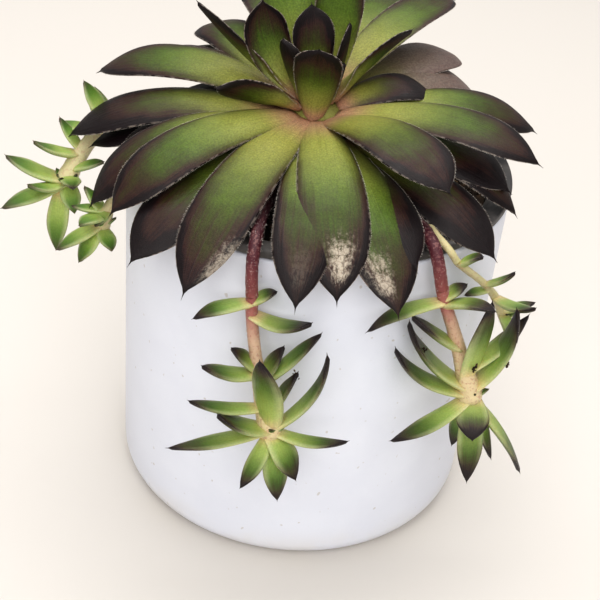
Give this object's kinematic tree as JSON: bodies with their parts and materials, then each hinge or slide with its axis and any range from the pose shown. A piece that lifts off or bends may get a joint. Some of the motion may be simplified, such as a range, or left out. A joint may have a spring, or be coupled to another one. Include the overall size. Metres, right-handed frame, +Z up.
{
  "type": "potted houseleek",
  "caption": "Dark-tipped trailing succulent rosette in a round white ceramic cover pot, with leafy young plants hanging over the rim.",
  "frame": {"origin": "middle of the pot's foot, on the surface that it stands on", "axes": "+Z up along the pot's axis; -Y towards the front, where the two big young plants hang"},
  "size_m": [0.1694, 0.1669, 0.1775],
  "materials": {
    "white_ceramic": "satin",
    "dark_plastic": "satin",
    "peat": "matte",
    "big_leaf": "satin",
    "young_leaf": "satin",
    "red_stem": "satin",
    "pale_stem": "satin"
  },
  "bodies": {
    "root": {"pot": "white_ceramic", "liner": "dark_plastic", "peat": "peat", "rosette": "big_leaf", "runner_front": "red_stem", "runner_right": "red_stem", "runner_side": "pale_stem", "runner_left": "red_stem", "runner_low": "red_stem", "offset_front": "young_leaf", "offset_right": "young_leaf", "offset_side": "young_leaf", "offset_left": "young_leaf", "offset_low": "young_leaf"}
  },
  "joints": []
}
